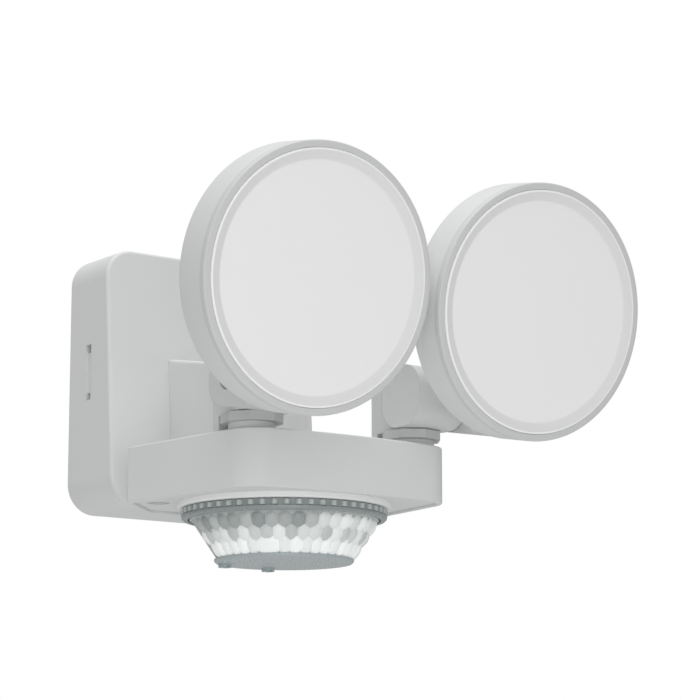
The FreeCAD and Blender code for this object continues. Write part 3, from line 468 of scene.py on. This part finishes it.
def facet_cells(slant):
    """The lens facets: bearing, distance down the cone, half width, half height and painted light
    tone.
    """
    pitch = 2 * math.pi / FACETS_ROUND
    cells = []
    for row, (part, shift, tall) in enumerate(FACET_ROWS):
        for index in range(-FACETS_ROUND // 2, FACETS_ROUND // 2):
            bearing, broad = (index + shift) * pitch, 0.5 * pitch
            if row == 2 and index == TWIN_FACET + 1:
                continue
            if row == 2 and index == TWIN_FACET:
                bearing, broad = bearing + pitch / 2, pitch
            if abs(bearing) <= FACET_LIMIT:
                cells.append((FRONT + bearing, part * slant, broad, FACET_HALF * slant * tall,
                              painted_facet_light(row, bearing, index)))
    return cells


def make_lens():
    """The faceted cone: every facet is a shallow bump, and bumps meet in creases."""
    ring_low = heights("sensor_ring")[0]
    low, high = heights("sensor_lens")
    wide, narrow = half_width("sensor_lens"), half_width("sensor_cap")
    drop, run = ring_low - low, wide - narrow
    slant = math.hypot(drop, run)
    normal_out, normal_down = drop / slant, run / slant
    cells = facet_cells(slant)
    across, along = FACETS_ROUND * STEPS_PER_FACET, LEVELS_DOWN
    verts, painted_tones = [], []
    for level in range(along + 1):
        down = slant * level / along
        base = wide - 0.1 - run * level / along
        near = [cell for cell in cells if abs(cell[1] - down) < 2 * cell[3]]
        edge = min(1.0, level / EDGE_LEVELS, (along - level) / EDGE_LEVELS)
        for step in range(across):
            angle = 2 * math.pi * step / across
            best, shade = 0.0, PLAIN_TONE
            for bearing, depth, broad, tall, tone in near:
                turn = (angle - bearing + math.pi) % (2 * math.pi) - math.pi
                if abs(turn) > 2 * broad:
                    continue
                side, up = turn / broad, (down - depth) / tall
                rise = 1 - BUMP_FALL * side * side - BUMP_FALL * up * up
                if rise > best:
                    best, shade = rise, tone
            lift = BUMP * best ** 0.8 * edge
            radius = base + normal_out * lift - SUNK
            verts.append((radius * math.cos(angle), radius * math.sin(angle),
                          ring_low - drop * level / along - normal_down * lift * 0.5 * edge))
            # the point's painted light and shade, taken from its facet
            painted_tones.append(shade)
    for radius, height in ((narrow - FILM_WALL - SUNK, low),
                           (wide - FILM_WALL - 1.5, ring_low),
                           (wide - 1.3, ring_low + 2), (wide - 1.3, high),
                           (wide - 0.2, high), (wide - 0.2, ring_low + 0.3)):
        for step in range(across):
            angle = 2 * math.pi * step / across
            verts.append((radius * math.cos(angle), radius * math.sin(angle), height))
            painted_tones.append(PLAIN_TONE)
    levels = along + 7
    faces = []
    for level in range(levels):
        below = (level + 1) % levels
        for step in range(across):
            after = (step + 1) % across
            faces.append((level * across + after, level * across + step,
                          below * across + step, below * across + after))
    piece = mesh_piece("faceted_lens", verts, faces, lens_film, "root",
                       ["sensor_lens"], SENSOR, 40)
    set_painted_tone(piece, painted_tones)


make_flange()
make_ring()
make_lens()


# ---------------------------------------------------------------- finishes of the other parts

FINISHES = {
    "canopy_shell": moulded_abs, "neck_housing": moulded_abs, "platform_shell": moulded_abs,
    "bottom_cover": moulded_abs, "left_collar": moulded_abs, "right_collar": moulded_abs,
    "left_lock_nut": painted_shade_nut_abs, "right_lock_nut": painted_shade_nut_abs,
    "left_swivel_bracket": painted_shade_coat, "right_swivel_bracket": painted_shade_coat,
    "left_head_arm": painted_shade_coat, "right_head_arm": painted_shade_coat,
    "wall_gasket": black_foam, "terminal_block": grey_nylon, "relay": grey_nylon,
    "driver_transformer": grey_nylon, "smoothing_capacitor": grey_nylon,
    "dial_potentiometers": grey_nylon, "sensor_board": solder_resist,
    "driver_board": solder_resist, "sensor_cap": cap_plastic,
    "range_dial": cap_plastic, "time_dial": cap_plastic,
    "left_lens_seal": silicone, "right_lens_seal": silicone,
    "left_led_chips": phosphor, "right_led_chips": phosphor,
}
for name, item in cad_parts.items():
    item.data.materials.clear()
    item.data.materials.append(FINISHES.get(name, zinc))


# ---------------------------------------------------------------- floor, light and camera

def make_floor():
    """A wide pale floor well below the light; the camera sees it as plain white."""
    material, tree = new_material("pale_floor")
    grain = add(tree, "ShaderNodeTexNoise", {}, {}, Scale=3.0)
    tone = add(tree, "ShaderNodeValToRGB", {}, {"Fac": grain.outputs["Fac"]})
    tone.color_ramp.elements[0].color = linear("E6E6E6")
    tone.color_ramp.elements[1].color = linear("EAEAEA")
    shader = add(tree, "ShaderNodeBsdfDiffuse", {}, {"Color": tone.outputs["Color"]})
    add(tree, "ShaderNodeOutputMaterial", {}, {"Surface": shader.outputs["BSDF"]})
    bpy.ops.mesh.primitive_plane_add(size=8, location=(0, 0, cad_low.z - 0.35))
    floor = bpy.context.object
    floor.name = "floor"
    floor.data.materials.append(material)


def make_world(ambient):
    world = bpy.data.worlds.new("studio")
    bpy.context.scene.world = world
    world.use_nodes = True
    tree = world.node_tree
    tree.nodes.clear()
    path = add(tree, "ShaderNodeLightPath")
    soft = add(tree, "ShaderNodeBackground", {}, {}, Strength=ambient)
    soft.inputs["Color"].default_value = linear("FFFFFF")
    plain = add(tree, "ShaderNodeBackground", {}, {}, Strength=1.0)
    plain.inputs["Color"].default_value = linear("FFFFFF")
    mix = add(tree, "ShaderNodeMixShader", {}, {
        0: path.outputs["Is Camera Ray"], 1: soft.outputs["Background"],
        2: plain.outputs["Background"]})
    add(tree, "ShaderNodeOutputWorld", {}, {"Surface": mix.outputs["Shader"]})


def softbox(name, place, aim, size, watts):
    lamp = bpy.data.lights.new(name, "AREA")
    lamp.shape, lamp.size, lamp.energy = "SQUARE", size, watts
    item = bpy.data.objects.new(name, lamp)
    bpy.context.collection.objects.link(item)
    item.location = place
    item.rotation_euler = (Vector(aim) - Vector(place)).to_track_quat("-Z", "Y").to_euler()


def make_camera():
    """Low on the left, looking slightly up at the light through a long lens."""
    data = bpy.data.cameras.new("camera")
    data.lens, data.sensor_width = 127.3, 36.0
    camera = bpy.data.objects.new("camera", data)
    bpy.context.collection.objects.link(camera)
    camera.location = (-0.6282, -1.0008, -0.1998)
    camera.rotation_euler = (math.radians(90 + 10.71), 0, math.radians(-36.05))
    bpy.context.scene.camera = camera


make_floor()
AMBIENT = 0.42
make_world(AMBIENT)
centre = (cad_low + cad_high) / 2
# A large overhead box, a weaker one in front, and a small one for the undersides.
softbox("top_light", (-0.1, -0.2, 1.5), centre, 1.4, 16)
softbox("front_light", (-0.9, -1.6, 0.5), centre, 1.2, 5)
softbox("low_light", (-0.35, -0.75, -0.40), centre, 0.5, 1.2)
make_camera()
bpy.context.scene.view_settings.view_transform = "Standard"
